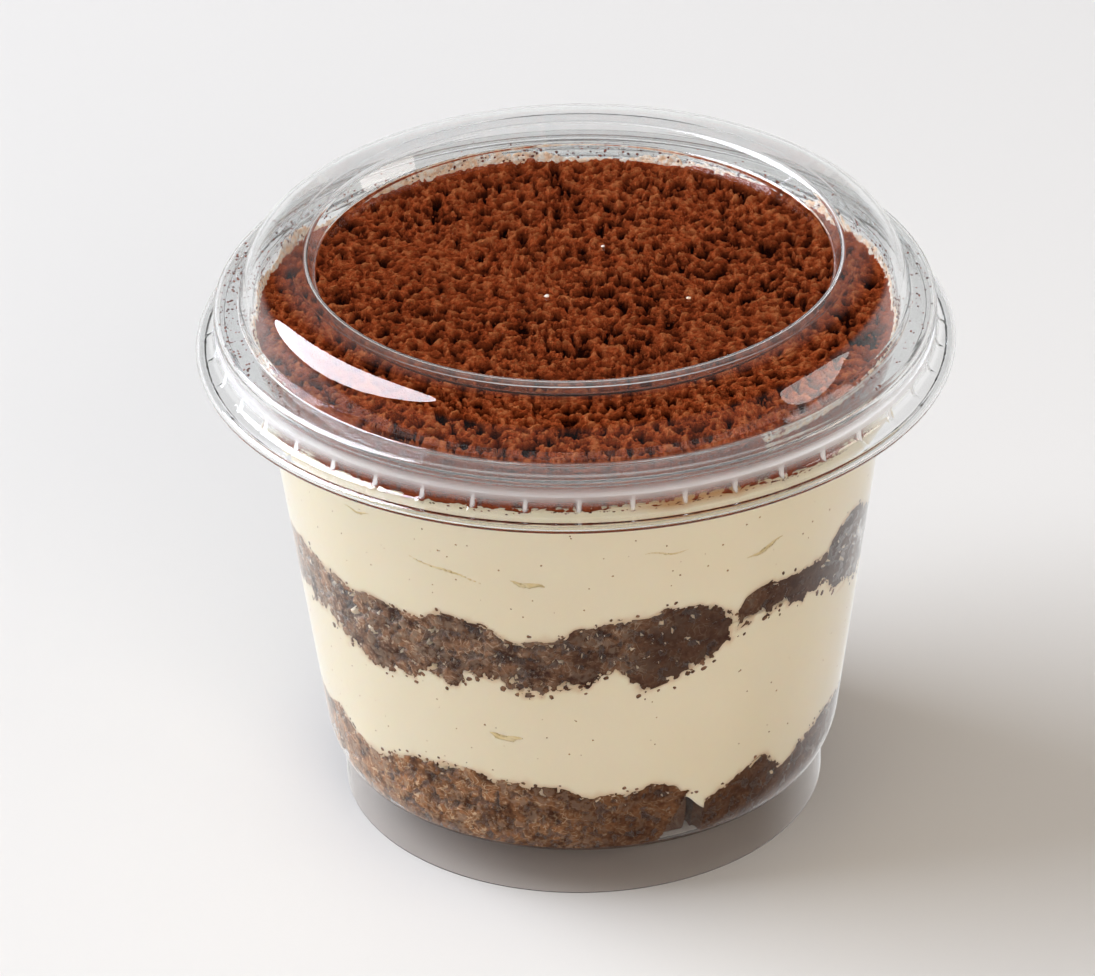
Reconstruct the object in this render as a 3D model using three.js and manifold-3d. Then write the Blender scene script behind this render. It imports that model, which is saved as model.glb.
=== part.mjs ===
// Tiramisu in a clear cup with a clear push-on lid. Millimetres, +Z up.
// The origin is the centre of the foot's standing edge, and -Y is the side of the cup that faces forward.
// Azimuths are in degrees from -Y, growing towards +X.

import * as THREE from 'three';
import { mergeVertices } from 'three/addons/utils/BufferGeometryUtils.js';
import Module from 'manifold-3d';

const wasm = await Module();
wasm.setup();

// Driving dimensions of the cup
const CUP_SHEET = 0.6;
const FOOT_RADIUS = 32.4;
const FLOOR_UNDERSIDE = 7.4;
const HEEL = { radius: 33.4, z: 7.6 };
const BODY_LOW = { radius: 34.8, z: 12 };
const BODY_HIGH = { radius: 42.4, z: 70 };
const RIM = { radius: 46.6, top: 72.1, thickness: 0.7, lip: 0.9 };

// Driving dimensions of the lid
const LID_SHEET = 0.45;
const LID_TOP = 80.3;
const PANEL = { radius: 34.3, z: 77.1 };
const RING_INNER_RADIUS = 35;
const SHOULDER = { radius: 43, round: 3.6 };
const GROOVE = { radius: 44.1, z: 73.05 };
const BEAD = { radius: 47.7, z: 73.05, round: 0.6 };
const PINCH = { radius: 47.25, z: 70.2 };
const BRIM = { radius: 50, z: 66.05, flareTop: 69.5, flareRadius: 47.5 };

// Driving dimensions of the filling
const CLEARANCE = 0.3;
const SECTORS = 40;
const CENTRE_EASE = 1.6;
const LEVELS = { lowerSpongeTop: 17, upperSpongeBottom: 35.4, upperSpongeTop: 44.2, cocoaBottom: 62, cocoaTop: 70.4 };
const CREAM_MEETING = 42.3;
const COCOA_LUMP = 0.45;

// Each wave raises or lowers a layer's face: azimuth, half-width in degrees, height in mm
const LOWER_SPONGE_TOP = [[-67, 6, 2], [-30, 16, 2.9], [14, 6, 1.3], [28, 5, -2.8], [42, 3, 1.2], [49, 5, -3.2],
  [120, 20, 1.6], [170, 16, -1.2], [215, 18, 2]];
const UPPER_SPONGE_BOTTOM = [[-46, 7, -2], [-18, 5, 1.5], [6, 4, 2.8], [14, 4, -1.2], [29, 4, 3.4], [46, 15, 5.6],
  [110, 14, 1.4], [150, 18, -1.4], [210, 20, 1.5]];
const UPPER_SPONGE_TOP = [[-26, 6, 1.3], [-11, 6, -2], [19, 13, 3], [30.5, 3, -2.8], [38, 5, 2.2], [63, 10, 3.4],
  [105, 16, 1], [160, 20, -1.2], [205, 14, 1.4]];
const COCOA_BOTTOM = [[8, 42, 2.3], [-75, 14, -1.6], [140, 40, 1.2]];

// Each sponge layer is laid as two pieces with a slit between them, which runs from the wall through the cup
const UPPER_SLIT = { azimuth: 30.7, width: 1.5, turn: 4, lean: 0 };
const LOWER_SLIT = { azimuth: 24.6, width: 3, turn: -6, lean: 22 };

const point = (radius, z) => new THREE.Vector2(radius, z);

function arc(centreRadius, centreZ, round, fromDegrees, toDegrees, steps) {
  const curve = new THREE.EllipseCurve(centreRadius, centreZ, round, round,
    THREE.MathUtils.degToRad(fromDegrees), THREE.MathUtils.degToRad(toDegrees), fromDegrees > toDegrees);
  return curve.getPoints(steps);
}

// The outside of the cup's body: a straight taper over a heel that curves in to the foot
function bodyRadius(z) {
  if (z >= BODY_LOW.z) {
    const share = (z - BODY_LOW.z) / (BODY_HIGH.z - BODY_LOW.z);
    return THREE.MathUtils.lerp(BODY_LOW.radius, BODY_HIGH.radius, share);
  }
  const down = (BODY_LOW.z - z) / (BODY_LOW.z - HEEL.z);
  return BODY_LOW.radius - (BODY_LOW.radius - HEEL.radius) * down * down * 0.7 - 0.42 * down;
}

const innerRadius = z => bodyRadius(z) - CUP_SHEET;
const foodRadius = z => innerRadius(z) - CLEARANCE;
const FLOOR_TOP = FLOOR_UNDERSIDE + CUP_SHEET;
const FOOD_BOTTOM = FLOOR_TOP + CLEARANCE;

// A lathe turned about Z from a closed profile that starts and ends on the axis
function turned(profile) {
  const geometry = new THREE.LatheGeometry(profile, SECTORS);
  geometry.rotateX(Math.PI / 2);
  return geometry;
}

// A closed mesh as a solid that can be joined and cut
function solidOf(geometry) {
  const bare = geometry.clone();
  bare.deleteAttribute('normal');
  bare.deleteAttribute('uv');
  const merged = mergeVertices(bare, 1e-4);
  const index = merged.index.array;
  const triangles = [];
  for (let i = 0; i < index.length; i += 3) {
    const [a, b, c] = index.subarray(i, i + 3);
    if (a !== b && b !== c && c !== a) triangles.push(a, b, c);
  }
  return new wasm.Manifold(new wasm.Mesh({
    numProp: 3,
    vertProperties: new Float32Array(merged.attributes.position.array),
    triVerts: new Uint32Array(triangles),
  }));
}

function geometryOf(solid) {
  const mesh = solid.getMesh();
  const geometry = new THREE.BufferGeometry();
  geometry.setAttribute('position', new THREE.BufferAttribute(new Float32Array(mesh.vertProperties), 3));
  geometry.setIndex(new THREE.BufferAttribute(new Uint32Array(mesh.triVerts), 1));
  geometry.computeVertexNormals();
  return geometry;
}

// The sum of a face's waves at an azimuth, each a smooth bump that wraps round the cup
function waveHeight(waves, azimuth) {
  let height = 0;
  for (const [centre, halfWidth, rise] of waves) {
    const away = THREE.MathUtils.euclideanModulo(azimuth - centre + 180, 360) - 180;
    height += rise * Math.exp(-((away / halfWidth) ** 2));
  }
  return height;
}

// A layer's face: level at the axis, and as wavy as its waves say at the wall
function faceOf(level, waves) {
  return (azimuth, share) => level + waveHeight(waves, azimuth) * share ** CENTRE_EASE;
}

const flatFace = level => () => level;

// The layer between two faces: a lathe whose profile follows both faces at each azimuth, out to the wall.
// With grow it is thicker on both faces, and with spread it goes on past the wall.
function layer({ bottom, top, rings = 3, sideRows = 3, grow = 0, spread = 0 }) {
  const face = Array.from({ length: rings + 1 }, (_, i) => ({ share: i / rings, beyond: 0 }));
  if (spread > 0) face.push({ share: 1, beyond: spread });
  const rows = Array.from({ length: sideRows - 1 }, (_, i) => (i + 1) / sideRows);
  const profile = [
    ...face.map(place => ({ ...place, climb: 0 })),
    ...rows.map(climb => ({ share: 1, beyond: spread, climb })),
    ...face.toReversed().map(place => ({ ...place, climb: 1 })),
  ];
  const geometry = turned(profile.map(({ share, beyond, climb }) => point(share + beyond, climb)));
  const position = geometry.attributes.position;
  for (let i = 0; i < position.count; i++) {
    const { share, beyond, climb } = profile[i % profile.length];
    const direction = new THREE.Vector2(position.getX(i), position.getY(i)).normalize();
    const azimuth = THREE.MathUtils.radToDeg(Math.atan2(direction.x, -direction.y));
    const z = THREE.MathUtils.lerp(bottom(azimuth, share) - grow, top(azimuth, share) + grow, climb);
    const radius = share * foodRadius(z) + beyond;
    position.setXYZ(i, direction.x * radius, direction.y * radius, z);
  }
  return solidOf(geometry);
}

// One side of a slit through the cup, as a block that holds the piece lying on that side
function slitSide(slit, side, z, grow = 0) {
  const reach = 120;
  const edge = slit.width / 2 - grow;
  const outline = new THREE.Shape([
    point(side * edge, -reach), point(side * reach, -reach), point(side * reach, reach), point(side * edge, reach)]);
  const geometry = new THREE.ExtrudeGeometry(outline, { depth: reach, bevelEnabled: false, steps: 1 });
  geometry.translate(0, 0, -reach / 2);
  const lean = side < 0 ? slit.lean : 0;
  geometry.rotateY(THREE.MathUtils.degToRad(lean));
  geometry.rotateZ(THREE.MathUtils.degToRad(slit.turn));
  geometry.translate(0, -foodRadius(z), 0);
  geometry.rotateZ(THREE.MathUtils.degToRad(slit.azimuth));
  geometry.translate(0, 0, z);
  return solidOf(geometry);
}

// Clear thermoformed cup: tapered body with a flat snap rim, over a floor raised on a hollow foot
function cup() {
  const rimUnderside = RIM.top - RIM.thickness;
  const heelSteps = [0.3, 0.65, 1].map(share => THREE.MathUtils.lerp(HEEL.z, BODY_LOW.z, share));
  const innerSteps = heelSteps.toReversed().filter(z => z > FLOOR_TOP);
  const profile = [
    point(0, FLOOR_UNDERSIDE),
    point(FOOT_RADIUS - CUP_SHEET - 0.4, FLOOR_UNDERSIDE),
    point(FOOT_RADIUS - CUP_SHEET, FLOOR_UNDERSIDE - 0.4),
    point(FOOT_RADIUS - CUP_SHEET, 0),
    point(FOOT_RADIUS, 0),
    point(FOOT_RADIUS, FLOOR_UNDERSIDE - 0.4),
    point(FOOT_RADIUS + 0.3, FLOOR_UNDERSIDE),
    point(HEEL.radius - 0.25, HEEL.z - 0.15),
    ...heelSteps.map(z => point(bodyRadius(z), z)),
    point(bodyRadius(41), 41),
    point(bodyRadius(70), 70),
    point(bodyRadius(70) + 0.7, rimUnderside),
    point(RIM.radius - 0.6, rimUnderside),
    point(RIM.radius - 0.6, RIM.top - RIM.lip),
    point(RIM.radius, RIM.top - RIM.lip),
    point(RIM.radius, RIM.top - 0.3),
    point(RIM.radius - 0.3, RIM.top),
    point(innerRadius(70) + 0.8, RIM.top),
    point(innerRadius(70), 70.6),
    point(innerRadius(41), 41),
    ...innerSteps.map(z => point(innerRadius(z), z)),
    point(innerRadius(FLOOR_TOP), FLOOR_TOP),
    point(0, FLOOR_TOP),
  ];
  return solidOf(turned(profile));
}

// The lid's sheet: its outline seen from above, moved in by half the sheet or out by it
function lidSheet(side) {
  const t = side * LID_SHEET / 2;
  return [
    point(0, PANEL.z + t),
    point(PANEL.radius - 0.5, PANEL.z + t),
    point(PANEL.radius - t * 0.5, PANEL.z + 0.5 + t),
    point(RING_INNER_RADIUS - t, LID_TOP - 0.9),
    ...arc(RING_INNER_RADIUS + 0.9, LID_TOP - 1.125, 0.9 + t, 150, 95, 1),
    point(SHOULDER.radius - SHOULDER.round - 1.2, LID_TOP - 0.225 + t),
    ...arc(SHOULDER.radius - SHOULDER.round, LID_TOP - 0.225 - SHOULDER.round, SHOULDER.round + t, 75, 5, 3),
    point(GROOVE.radius - 0.5 + t, GROOVE.z + 0.5),
    point(GROOVE.radius + t * 0.6, GROOVE.z - 0.225 + t),
    ...arc(BEAD.radius - BEAD.round - 0.225, BEAD.z - 0.225 - BEAD.round, BEAD.round + t, 75, 0, 1),
    point(PINCH.radius - 0.225 + t, PINCH.z),
    point(BRIM.flareRadius - 0.225 + t, BRIM.flareTop + t * 0.5),
  ];
}

// Clear lid: a sunken panel inside a raised ring, a groove and bead that snap over the cup's rim, a flared brim
function lid() {
  const rolledEdge = [
    point(BRIM.radius - 0.1, BRIM.z + 0.6),
    point(BRIM.radius, BRIM.z + 0.2),
    point(BRIM.radius - 0.25, BRIM.z),
    point(BRIM.radius - 0.7, BRIM.z + 0.25),
  ];
  const profile = [...lidSheet(1), ...rolledEdge, ...lidSheet(-1).toReversed()];
  return solidOf(turned(profile.toReversed()));
}

// Cocoa powder sieved on top: a lumpy disc with a soft edge against the wall
function cocoa() {
  const lumps = (azimuth, share) => {
    const angle = THREE.MathUtils.degToRad(azimuth);
    const x = share * Math.sin(angle);
    const y = share * Math.cos(angle);
    return Math.sin(17 * x + 3 * y) * Math.cos(13 * y - 5 * x) + 0.6 * Math.sin(23 * y + 9 * x);
  };
  const top = (azimuth, share) => LEVELS.cocoaTop + COCOA_LUMP * lumps(azimuth, share) * (1 - share ** 8);
  const bottom = faceOf(LEVELS.cocoaBottom + CLEARANCE, COCOA_BOTTOM);
  return layer({ bottom, top, rings: 7, sideRows: 2 });
}

const upperSponge = { bottom: faceOf(LEVELS.upperSpongeBottom, UPPER_SPONGE_BOTTOM),
  top: faceOf(LEVELS.upperSpongeTop, UPPER_SPONGE_TOP) };
const lowerSponge = { bottom: flatFace(FOOD_BOTTOM), top: faceOf(LEVELS.lowerSpongeTop, LOWER_SPONGE_TOP) };

// One piece of soaked sponge, on one side of its layer's slit
function sponge(faces, slit, side) {
  return layer(faces).intersect(slitSide(slit, side, CREAM_MEETING));
}

function lowerSpongePiece(side) {
  return layer(lowerSponge).intersect(slitSide(LOWER_SLIT, side, LEVELS.lowerSpongeTop));
}

// The room that the upper sponge's two pieces take in the cream round them
function upperSpongeRoom() {
  const room = layer({ ...upperSponge, grow: CLEARANCE, spread: 3 });
  const left = room.intersect(slitSide(UPPER_SLIT, -1, CREAM_MEETING, CLEARANCE));
  const right = room.intersect(slitSide(UPPER_SLIT, 1, CREAM_MEETING, CLEARANCE));
  return left.add(right);
}

// Mascarpone cream from the cocoa down into the upper slit
function upperCream() {
  const top = faceOf(LEVELS.cocoaBottom, COCOA_BOTTOM);
  const body = layer({ bottom: flatFace(CREAM_MEETING + CLEARANCE / 2), top, sideRows: 3 });
  return body.subtract(upperSpongeRoom());
}

// Mascarpone cream from the upper slit down onto the lower sponge
function lowerCream() {
  const bottom = faceOf(LEVELS.lowerSpongeTop + CLEARANCE, LOWER_SPONGE_TOP);
  const body = layer({ bottom, top: flatFace(CREAM_MEETING - CLEARANCE / 2), sideRows: 4 });
  return body.subtract(upperSpongeRoom());
}

const clearPlastic = new THREE.MeshStandardMaterial({ color: 0xf2f4f4, roughness: 0.06, metalness: 0,
  transparent: true, opacity: 0.35 });
const cocoaPowder = new THREE.MeshStandardMaterial({ color: 0x7a3a20, roughness: 0.95, metalness: 0 });
const mascarpone = new THREE.MeshStandardMaterial({ color: 0xead9b6, roughness: 0.55, metalness: 0 });
const soakedSponge = new THREE.MeshStandardMaterial({ color: 0x5a3a26, roughness: 0.8, metalness: 0 });

const nodes = [
  ['cup', cup(), clearPlastic],
  ['lid', lid(), clearPlastic],
  ['cocoa', cocoa(), cocoaPowder],
  ['cream_upper', upperCream(), mascarpone],
  ['cream_lower', lowerCream(), mascarpone],
  ['sponge_upper_left', sponge(upperSponge, UPPER_SLIT, -1), soakedSponge],
  ['sponge_upper_right', sponge(upperSponge, UPPER_SLIT, 1), soakedSponge],
  ['sponge_lower_left', lowerSpongePiece(-1), soakedSponge],
  ['sponge_lower_right', lowerSpongePiece(1), soakedSponge],
];

const tiramisu = new THREE.Group();
for (const [name, solid, material] of nodes) {
  const mesh = new THREE.Mesh(geometryOf(solid), material.clone());
  mesh.name = name;
  tiramisu.add(mesh);
}

export default tiramisu;
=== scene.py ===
"""Tiramisu in a clear cup under a clear push-on lid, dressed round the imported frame.

The pieces come from the cup inwards and upwards: the cup, the two layers of soaked sponge, the cream
round them, the cocoa on top, the loose bits, and last the lid with the drops on it. Sizes are in
millimetres until a mesh is made, azimuths are in degrees from -Y growing towards +X, and heights are
above the surface that the cup stands on.
"""
import math

import bpy
import numpy as np
from mathutils import Matrix, Vector


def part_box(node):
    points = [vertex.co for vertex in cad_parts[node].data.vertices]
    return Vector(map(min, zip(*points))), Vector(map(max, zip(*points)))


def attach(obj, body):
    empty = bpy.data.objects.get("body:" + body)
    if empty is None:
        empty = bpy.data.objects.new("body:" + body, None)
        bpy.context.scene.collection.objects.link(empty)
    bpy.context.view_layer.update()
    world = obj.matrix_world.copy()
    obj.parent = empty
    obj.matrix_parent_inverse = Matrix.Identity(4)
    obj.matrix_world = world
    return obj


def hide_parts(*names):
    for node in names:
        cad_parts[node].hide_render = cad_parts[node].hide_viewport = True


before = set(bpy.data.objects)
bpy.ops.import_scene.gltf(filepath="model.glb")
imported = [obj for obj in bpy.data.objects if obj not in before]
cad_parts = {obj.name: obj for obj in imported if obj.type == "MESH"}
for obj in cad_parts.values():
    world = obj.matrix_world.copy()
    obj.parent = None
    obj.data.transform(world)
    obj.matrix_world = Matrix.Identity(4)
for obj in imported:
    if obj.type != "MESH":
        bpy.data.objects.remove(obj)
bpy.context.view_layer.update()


# ---------------------------------------------------------------- the studio
# A pale seamless table under a large, slightly cool key light from the left, with warm fill from the
# front, the right and above. Two round cards only show as streaks in the lid. The lens is a long one.
MM = 0.001
CAMERA_DISTANCE = 890.7
CAMERA_HEIGHT_ANGLE = 33.17
CAMERA_PAN = -0.318
CAMERA_TILT = -2.4
CAMERA_ROLL = -1.25
SENSOR_WIDTH = 36.0
LENS = 213.7


def linear(hex_colour):
    """One sRGB hex colour as linear RGBA: below 0.04045 a straight line, above it a power of 2.4."""
    channels = [int(hex_colour[i:i + 2], 16) / 255 for i in (1, 3, 5)]
    return tuple(c / 12.92 if c <= 0.04045 else ((c + 0.055) / 1.055) ** 2.4 for c in channels) + (1.0,)


def put(tree, kind, sockets=None, **settings):
    """Adds one node: settings go on the node itself, and each socket gets a value or a link."""
    made = tree.nodes.new(kind)
    for name, value in settings.items():
        setattr(made, name, value)
    for name, value in (sockets or {}).items():
        if isinstance(value, bpy.types.NodeSocket):
            tree.links.new(value, made.inputs[name])
        else:
            made.inputs[name].default_value = value
    return made


def new_material(name):
    """An empty node material, with its tree and its output node."""
    material = bpy.data.materials.new(name)
    material.use_nodes = True
    material.node_tree.nodes.clear()
    return material, material.node_tree, material.node_tree.nodes.new("ShaderNodeOutputMaterial")


def aim_camera():
    """The camera looks at the cup's standing point, then pans, tilts and rolls by small angles."""
    lift = math.radians(CAMERA_HEIGHT_ANGLE)
    down = math.radians(CAMERA_HEIGHT_ANGLE + CAMERA_TILT)
    pan, roll = math.radians(CAMERA_PAN), math.radians(CAMERA_ROLL)
    ahead = Vector((math.sin(pan) * math.cos(down), math.cos(pan) * math.cos(down), -math.sin(down)))
    level = Vector((math.cos(pan), -math.sin(pan), 0))
    upward = level.cross(ahead)
    right = math.cos(roll) * level + math.sin(roll) * upward
    top = -math.sin(roll) * level + math.cos(roll) * upward
    camera = bpy.data.objects.new("camera", bpy.data.cameras.new("camera"))
    place = Vector((0, -math.cos(lift), math.sin(lift))) * CAMERA_DISTANCE * MM
    turn = Matrix((right, top, -ahead)).transposed()
    camera.matrix_world = Matrix.Translation(place) @ turn.to_4x4()
    camera.data.sensor_width = SENSOR_WIDTH
    camera.data.lens = LENS
    camera.data.clip_end = 20
    bpy.context.collection.objects.link(camera)
    bpy.context.scene.camera = camera


def softbox(name, azimuth, height_angle, distance, width, height, power, colour, card=False):
    """A rectangular light that faces the cup from an azimuth and a height angle, sizes in metres, and
    doesn't show in gloss. A card is an ellipse that shows in gloss only."""
    lamp = bpy.data.lights.new(name, "AREA")
    lamp.shape = "ELLIPSE" if card else "RECTANGLE"
    lamp.size, lamp.size_y = width, height
    lamp.energy = power
    lamp.color = linear(colour)[:3]
    holder = bpy.data.objects.new(name, lamp)
    holder.visible_glossy = card
    holder.visible_diffuse = not card
    holder.visible_transmission = False
    turn, lift = math.radians(azimuth), math.radians(height_angle)
    away = Vector((math.sin(turn) * math.cos(lift), -math.cos(turn) * math.cos(lift), math.sin(lift)))
    holder.location = away * distance + Vector((0, 0, 0.04))
    holder.rotation_euler = away.to_track_quat("Z", "Y").to_euler()
    bpy.context.collection.objects.link(holder)


aim_camera()
softbox("key_softbox", -101, 38, 2.5, 2.1, 1.8, 76.0, "#eff6ff")
softbox("front_fill", 15, 32, 2.4, 1.6, 1.0, 20.0, "#fff3e6")
softbox("right_fill", 75, 24, 2.4, 1.8, 1.0, 7.5, "#fff3e6")
softbox("overhead_silk", 0, 84, 2.0, 2.6, 2.6, 17.0, "#fff6ed")
softbox("left_card", -98, 36, 1.6, 1.75, 1.75, 160.0, "#f6f5ff", card=True)
softbox("right_card", 84, 5, 1.5, 0.85, 0.55, 7.0, "#fff4ee", card=True)

scene = bpy.context.scene
scene.view_settings.view_transform = "Standard"
scene.cycles.transparent_max_bounces = 24
scene.cycles.max_bounces = 16
scene.cycles.transmission_bounces = 16
scene.world = bpy.data.worlds.new("studio_room")
scene.world.use_nodes = True
room = scene.world.node_tree
room.nodes.clear()
# the plastic mirrors a white backdrop and table behind the cup, dark above it and towards the camera
way = put(room, "ShaderNodeSeparateXYZ", {0: put(room, "ShaderNodeTexCoord").outputs["Generated"]})
rise = put(room, "ShaderNodeMapRange", {"Value": way.outputs["Z"], "From Min": 0.16, "From Max": 0.44,
                                        "To Min": 1.0, "To Max": 0.005}, interpolation_type="SMOOTHSTEP")
behind = put(room, "ShaderNodeMapRange", {"Value": way.outputs["Y"], "From Min": -0.1, "From Max": 0.55,
                                          "To Min": 0.12, "To Max": 1.0}, interpolation_type="SMOOTHSTEP")
rise = put(room, "ShaderNodeMath", {0: rise.outputs[0], 1: behind.outputs[0]}, operation="MULTIPLY")
room_light = put(room, "ShaderNodeBackground", {"Color": linear("#fbfaf9"), "Strength": rise.outputs[0]})
put(room, "ShaderNodeOutputWorld", {"Surface": room_light.outputs[0]})

# matt white laminate table
table_paint, tree, output = new_material("matt_white_laminate")
paint = put(tree, "ShaderNodeBsdfPrincipled", {"Base Color": linear("#e7e6e5"), "Roughness": 0.8,
                                               "Specular IOR Level": 0.1})
tree.links.new(paint.outputs[0], output.inputs["Surface"])
TABLE_REACH = 4.0
table_mesh = bpy.data.meshes.new("table")
table_mesh.from_pydata([(x, y, 0) for x, y in ((-TABLE_REACH, -TABLE_REACH), (TABLE_REACH, -TABLE_REACH),
                                               (TABLE_REACH, TABLE_REACH), (-TABLE_REACH, TABLE_REACH))],
                       [], [(0, 1, 2, 3)])
table_mesh.materials.append(table_paint)
table = bpy.data.objects.new("table", table_mesh)
table.visible_glossy = False
bpy.context.collection.objects.link(table)


# ---------------------------------------------------------------- the cup
# A clear injection-moulded PET cup: a tapered body with a flat snap rim, and a floor raised on a
# hollow foot. The sheet is 0.6 mm, so it shows mostly as thin bright edges and reflections.
CUP_SHEET = 0.6
FOOT_RADIUS = 32.4
HEEL_RADIUS, HEEL_HEIGHT = 33.4, 7.6
BODY_LOW_RADIUS, BODY_LOW_HEIGHT = 34.8, 12.0
BODY_HIGH_RADIUS, BODY_HIGH_HEIGHT = 42.4, 70.0
FLOOR_UNDERSIDE = 7.4
FLOOR_TOP = FLOOR_UNDERSIDE + CUP_SHEET
RIM_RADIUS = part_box("cup")[1].x / MM
RIM_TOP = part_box("cup")[1].z / MM
RIM_THICKNESS, RIM_LIP = 0.7, 0.9
CUP_COLUMNS = 480


def body_radius(z):
    """Outside radius of the cup's body: a straight taper, and below it a quadratic curve into the heel."""
    share = (z - BODY_LOW_HEIGHT) / (BODY_HIGH_HEIGHT - BODY_LOW_HEIGHT)
    straight = BODY_LOW_RADIUS + (BODY_HIGH_RADIUS - BODY_LOW_RADIUS) * share
    down = np.clip((BODY_LOW_HEIGHT - z) / (BODY_LOW_HEIGHT - HEEL_HEIGHT), 0, 1)
    curved = BODY_LOW_RADIUS - (BODY_LOW_RADIUS - HEEL_RADIUS) * 0.7 * down ** 2 - 0.42 * down
    return np.where(z >= BODY_LOW_HEIGHT, straight, curved)


def wall_radius(z):
    """Inside radius of the cup's wall."""
    return body_radius(z) - CUP_SHEET


def rounded_line(corners, step=1.6, arc_parts=5):
    """An open line through corners (radius, height, rounding): each corner becomes an arc that is
    tangent to both sides, and the straight runs between arcs are cut into steps."""
    places = np.array([c[:2] for c in corners], float)
    points = [places[0]]
    for i in range(1, len(corners) - 1):
        back, ahead = places[i - 1] - places[i], places[i + 1] - places[i]
        back_length, ahead_length = np.hypot(*back), np.hypot(*ahead)
        back, ahead = back / back_length, ahead / ahead_length
        half = math.acos(np.clip(back @ ahead, -1, 1)) / 2
        reach = min(corners[i][2] / math.tan(half), 0.48 * back_length, 0.48 * ahead_length)
        if half > math.radians(88) or reach < 1e-3:
            points.append(places[i])
            continue
        radius = reach * math.tan(half)
        centre = places[i] + (back + ahead) / np.hypot(*(back + ahead)) * radius / math.sin(half)
        start, end = places[i] + back * reach - centre, places[i] + ahead * reach - centre
        sweep = math.atan2(start[0] * end[1] - start[1] * end[0], start @ end)
        for part in range(arc_parts + 1):
            angle = sweep * part / arc_parts
            turned = np.array([start[0] * math.cos(angle) - start[1] * math.sin(angle),
                               start[0] * math.sin(angle) + start[1] * math.cos(angle)])
            points.append(centre + turned)
    points.append(places[-1])
    line = [points[0]]
    for there in points[1:]:
        here = line[-1]
        length = np.hypot(*(there - here))
        if length < 1e-4:
            continue
        edge = min(0.25, length / 4)
        inner = max(1, round((length - 2 * edge) / step))
        shares = [edge / length + (1 - 2 * edge / length) * k / inner for k in range(inner + 1)]
        line += [here + (there - here) * s for s in shares] if length > step else []
        line.append(there)
    return np.array(line)


def shown(name, vertices, faces, material, smooth=True):
    """Puts one finished mesh, given in millimetres, into the scene at the origin."""
    mesh = bpy.data.meshes.new(name)
    vertices = np.asarray(vertices, np.float32) * MM
    loops = np.concatenate([np.asarray(f).ravel() for f in faces]).astype(np.int32)
    sizes = np.concatenate([np.full(len(f), np.asarray(f).shape[1]) for f in faces])
    mesh.vertices.add(len(vertices))
    mesh.vertices.foreach_set("co", vertices.ravel())
    mesh.loops.add(len(loops))
    mesh.loops.foreach_set("vertex_index", loops)
    mesh.polygons.add(len(sizes))
    mesh.polygons.foreach_set("loop_start", np.concatenate([[0], np.cumsum(sizes)[:-1]]).astype(np.int32))
    mesh.polygons.foreach_set("use_smooth", np.full(len(sizes), smooth))
    mesh.update(calc_edges=True)
    mesh.validate()
    mesh.materials.append(material)
    piece = bpy.data.objects.new(name, mesh)
    bpy.context.collection.objects.link(piece)
    return piece


def marked(piece, label, values):
    """Stores one number for each vertex, for the piece's material to read."""
    mark = piece.data.attributes.new(label, "FLOAT", "POINT")
    mark.data.foreach_set("value", np.asarray(values, np.float32))


def grid_faces(rows, columns, closed=True, first=0):
    """Quads between neighbouring rows of a grid of vertices; closed joins the last column to the first."""
    row = np.arange(rows - 1)[:, None] * columns + first
    here = np.arange(columns if closed else columns - 1)[None, :]
    there = (here + 1) % columns
    quads = np.stack([row + here, row + there, row + columns + there, row + columns + here], -1)
    return quads.reshape(-1, 4)


def round_axis(azimuth, radius, z):
    """Places at azimuths in degrees: (radius sin a, -radius cos a, z)."""
    angle = np.radians(azimuth)
    return np.stack([radius * np.sin(angle), -radius * np.cos(angle), z], -1)


def fan_faces(centre, ring, outward):
    """Triangles from one vertex to a closed ring; outward turns them the other way round."""
    there = np.roll(ring, -1)
    pole = np.full(len(ring), centre)
    return np.stack([pole, there, ring] if outward else [pole, ring, there], -1)


def capped(name, rings, poles, material):
    """A closed piece: rings of equally many places, and a pole that closes each end with a fan."""
    rows, columns = rings.shape[:2]
    first, count = np.arange(columns), rows * columns
    faces = [grid_faces(rows, columns), fan_faces(count, first, True),
             fan_faces(count + 1, first + count - columns, False)]
    return shown(name, np.vstack([rings.reshape(-1, 3), poles]), faces, material)


def lathe(name, outline, columns, material, frost_and_painted_highlight, relief=None):
    """A solid of revolution: the outline runs from the axis round the section and back to the axis,
    point by point (radius sin a, -radius cos a, height), and relief(azimuths, outline) moves points
    along the section's normal. The milkiness function, given azimuths and outline, says how milky each
    point is, from 0 to 1. On the lid this includes white lines and rib marks painted as highlights."""
    ring = outline[1:-1]
    azimuth = np.arange(columns)[None, :] * 360 / columns
    radius = np.repeat(ring[:, :1], columns, 1)
    height = np.repeat(ring[:, 1:], columns, 1)
    if relief is not None:
        along = np.gradient(ring, axis=0)
        along /= np.hypot(along[:, 0], along[:, 1])[:, None]
        push = relief(azimuth, ring)
        radius = radius + push * along[:, 1:]
        height = height - push * along[:, :1]
    poles = np.array([[0, 0, outline[0][1]], [0, 0, outline[-1][1]]])
    made = capped(name, round_axis(azimuth, radius, height), poles, material)
    milky = np.broadcast_to(frost_and_painted_highlight(azimuth, ring), radius.shape)
    marked(made, "frost_and_painted_highlight", np.concatenate([milky.ravel(), [0, 0]]))
    return made


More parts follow.
